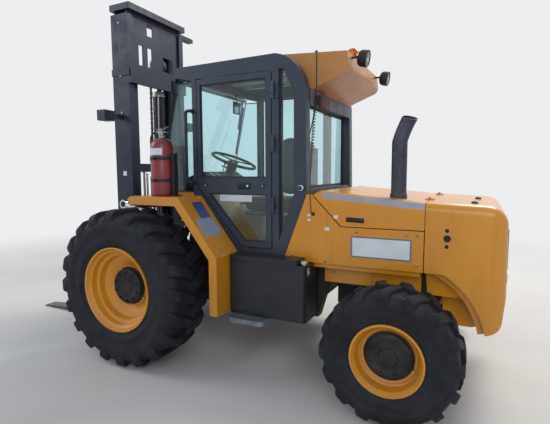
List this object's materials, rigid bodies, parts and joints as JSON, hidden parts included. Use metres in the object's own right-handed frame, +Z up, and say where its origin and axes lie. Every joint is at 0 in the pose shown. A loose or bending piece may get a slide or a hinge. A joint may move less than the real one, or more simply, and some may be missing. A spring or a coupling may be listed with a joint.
{
  "type": "rough_terrain_forklift",
  "caption": "Rough terrain forklift with a glazed cab, two-stage mast, large lugged front tyres, smaller steered rear wheels and a rounded counterweight.",
  "frame": {"origin": "on the ground under the middle of the whole machine's box, forks down and mast upright", "axes": "+X forward along the forks, +Y to the machine's left, +Z up"},
  "size_m": [4.53, 2.24, 3.03],
  "materials": {
    "body_yellow": "satin chrome-yellow paint",
    "frame_charcoal": "satin charcoal paint",
    "chassis_black": "worn black paint",
    "tyre": "matt black rubber",
    "bright_steel": "polished rod",
    "grey_metal": "grey punched plate",
    "fork_steel": "black paint worn at the tips",
    "chain": "oiled chain",
    "exhaust": "heat-dulled steel",
    "glass": "lightly tinted",
    "black_plastic": "fine grain",
    "seat_black": "seat cover",
    "amber": "amber lens",
    "lamp": "clear lens in a black shell",
    "red": "dull red",
    "rubber": "cable sheath"
  },
  "bodies": {
    "chassis": {"frame": "chassis_black", "front_axle": "chassis_black", "rear_axle": "chassis_black", "side_tanks": "chassis_black", "steps": "grey_metal", "fenders": "body_yellow", "engine": "chassis_black", "side_panels": "body_yellow", "counterweight": "body_yellow", "rear_grille": "chassis_black", "cab_frame": "frame_charcoal", "cab_floor": "body_yellow", "roof": "frame_charcoal", "roof_cowl": "body_yellow", "cab_glass": "glass", "seat_base": "black_plastic", "seat_pads": "seat_black", "console": "black_plastic", "cab_fittings": "black_plastic", "lamps": "lamp", "beacon": "amber", "extinguisher": "red", "extinguisher_hose": "rubber", "extinguisher_post": "black_plastic", "lamp_lead": "rubber", "lamp_lead_coil": "rubber"},
    "door": {"door": "frame_charcoal", "door_glass": "glass"},
    "hood": {"hood": "body_yellow", "exhaust_stack": "exhaust"},
    "steering_wheel": {"steering_wheel": "black_plastic"},
    "knuckle_left": {"knuckle_left": "chassis_black"},
    "knuckle_right": {"knuckle_right": "chassis_black"},
    "steer_rod": {"steer_rod": "bright_steel"},
    "front_wheel_left": {"front_tyre_left": "tyre", "front_rim_left": "body_yellow"},
    "front_wheel_right": {"front_tyre_right": "tyre", "front_rim_right": "body_yellow"},
    "rear_wheel_left": {"rear_tyre_left": "tyre", "rear_rim_left": "body_yellow"},
    "rear_wheel_right": {"rear_tyre_right": "tyre", "rear_rim_right": "body_yellow"},
    "mast_outer": {"mast_outer": "frame_charcoal", "lift_ram": "frame_charcoal"},
    "mast_inner": {"mast_inner": "frame_charcoal", "lift_rod": "bright_steel", "lift_chains": "chain"},
    "carriage": {"carriage": "frame_charcoal"},
    "fork_left": {"fork_left": "fork_steel"},
    "fork_right": {"fork_right": "fork_steel"},
    "tilt_barrels": {"tilt_barrels": "chassis_black"},
    "tilt_rods": {"tilt_rods": "bright_steel"}
  },
  "joints": [
    {"name": "door_hinge", "type": "hinge", "parent": "chassis", "child": "door", "pos_m": [-0.733, 0.595, 1.65], "axis": [0, 0, 1], "range_deg": [0, 170]},
    {"name": "hood_hinge", "type": "hinge", "parent": "chassis", "child": "hood", "pos_m": [-1.794, 0, 1.314], "axis": [0, -1, 0], "range_deg": [0, 50]},
    {"name": "steering_wheel_turn", "type": "hinge", "parent": "chassis", "child": "steering_wheel", "pos_m": [-0.035, 0, 1.6], "axis": [-0.3746, 0, 0.9272], "range_deg": [-500, 500]},
    {"name": "steer_left", "type": "hinge", "parent": "chassis", "child": "knuckle_left", "pos_m": [-1.65, 0.66, 0.415], "axis": [0, 0, 1], "range_deg": [-40, 40]},
    {"name": "steer_right", "type": "hinge", "parent": "chassis", "child": "knuckle_right", "pos_m": [-1.65, -0.66, 0.415], "axis": [0, 0, 1], "range_deg": [-40, 40]},
    {"name": "steer_rod_slide", "type": "slide", "parent": "chassis", "child": "steer_rod", "axis": [0, 1, 0], "range_m": [-0.125, 0.125]},
    {"name": "front_wheel_left_spin", "type": "hinge", "parent": "chassis", "child": "front_wheel_left", "pos_m": [0.35, 0.9225, 0.61], "axis": [0, 1, 0], "continuous": true},
    {"name": "rear_wheel_left_spin", "type": "hinge", "parent": "knuckle_left", "child": "rear_wheel_left", "pos_m": [-1.65, 0.8675, 0.415], "axis": [0, 1, 0], "continuous": true},
    {"name": "front_wheel_right_spin", "type": "hinge", "parent": "chassis", "child": "front_wheel_right", "pos_m": [0.35, -0.9225, 0.61], "axis": [0, 1, 0], "continuous": true},
    {"name": "rear_wheel_right_spin", "type": "hinge", "parent": "knuckle_right", "child": "rear_wheel_right", "pos_m": [-1.65, -0.8675, 0.415], "axis": [0, 1, 0], "continuous": true},
    {"name": "mast_tilt", "type": "hinge", "parent": "chassis", "child": "mast_outer", "pos_m": [0.73, 0, 0.5], "axis": [0, 1, 0], "range_deg": [-12, 10]},
    {"name": "mast_lift", "type": "slide", "parent": "mast_outer", "child": "mast_inner", "axis": [0, 0, 1], "range_m": [0, 1.75]},
    {"name": "carriage_lift", "type": "slide", "parent": "mast_inner", "child": "carriage", "axis": [0, 0, 1], "range_m": [0, 1.75]},
    {"name": "fork_left_shift", "type": "slide", "parent": "carriage", "child": "fork_left", "axis": [0, 1, 0], "range_m": [-0.22, 0.155]},
    {"name": "fork_right_shift", "type": "slide", "parent": "carriage", "child": "fork_right", "axis": [0, -1, 0], "range_m": [-0.22, 0.155]},
    {"name": "tilt_barrel_swing", "type": "hinge", "parent": "chassis", "child": "tilt_barrels", "pos_m": [0.05, 0, 0.985], "axis": [0, 1, 0], "range_deg": [-6, 5]},
    {"name": "tilt_rod_slide", "type": "slide", "parent": "tilt_barrels", "child": "tilt_rods", "axis": [0.9691, 0, 0.2466], "range_m": [-0.15, 0.14]}
  ],
  "couplings": [
    {"joint": "steer_right", "follows": "steer_left", "ratio": 1},
    {"joint": "steer_rod_slide", "follows": "steer_left", "m_per_rad": -0.16},
    {"joint": "steering_wheel_turn", "follows": "steer_left", "ratio": -12},
    {"joint": "carriage_lift", "follows": "mast_lift", "ratio": 1},
    {"joint": "tilt_barrel_swing", "follows": "mast_tilt", "ratio": 0.3749},
    {"joint": "tilt_rod_slide", "follows": "mast_tilt", "m_per_rad": 0.6422}
  ]
}
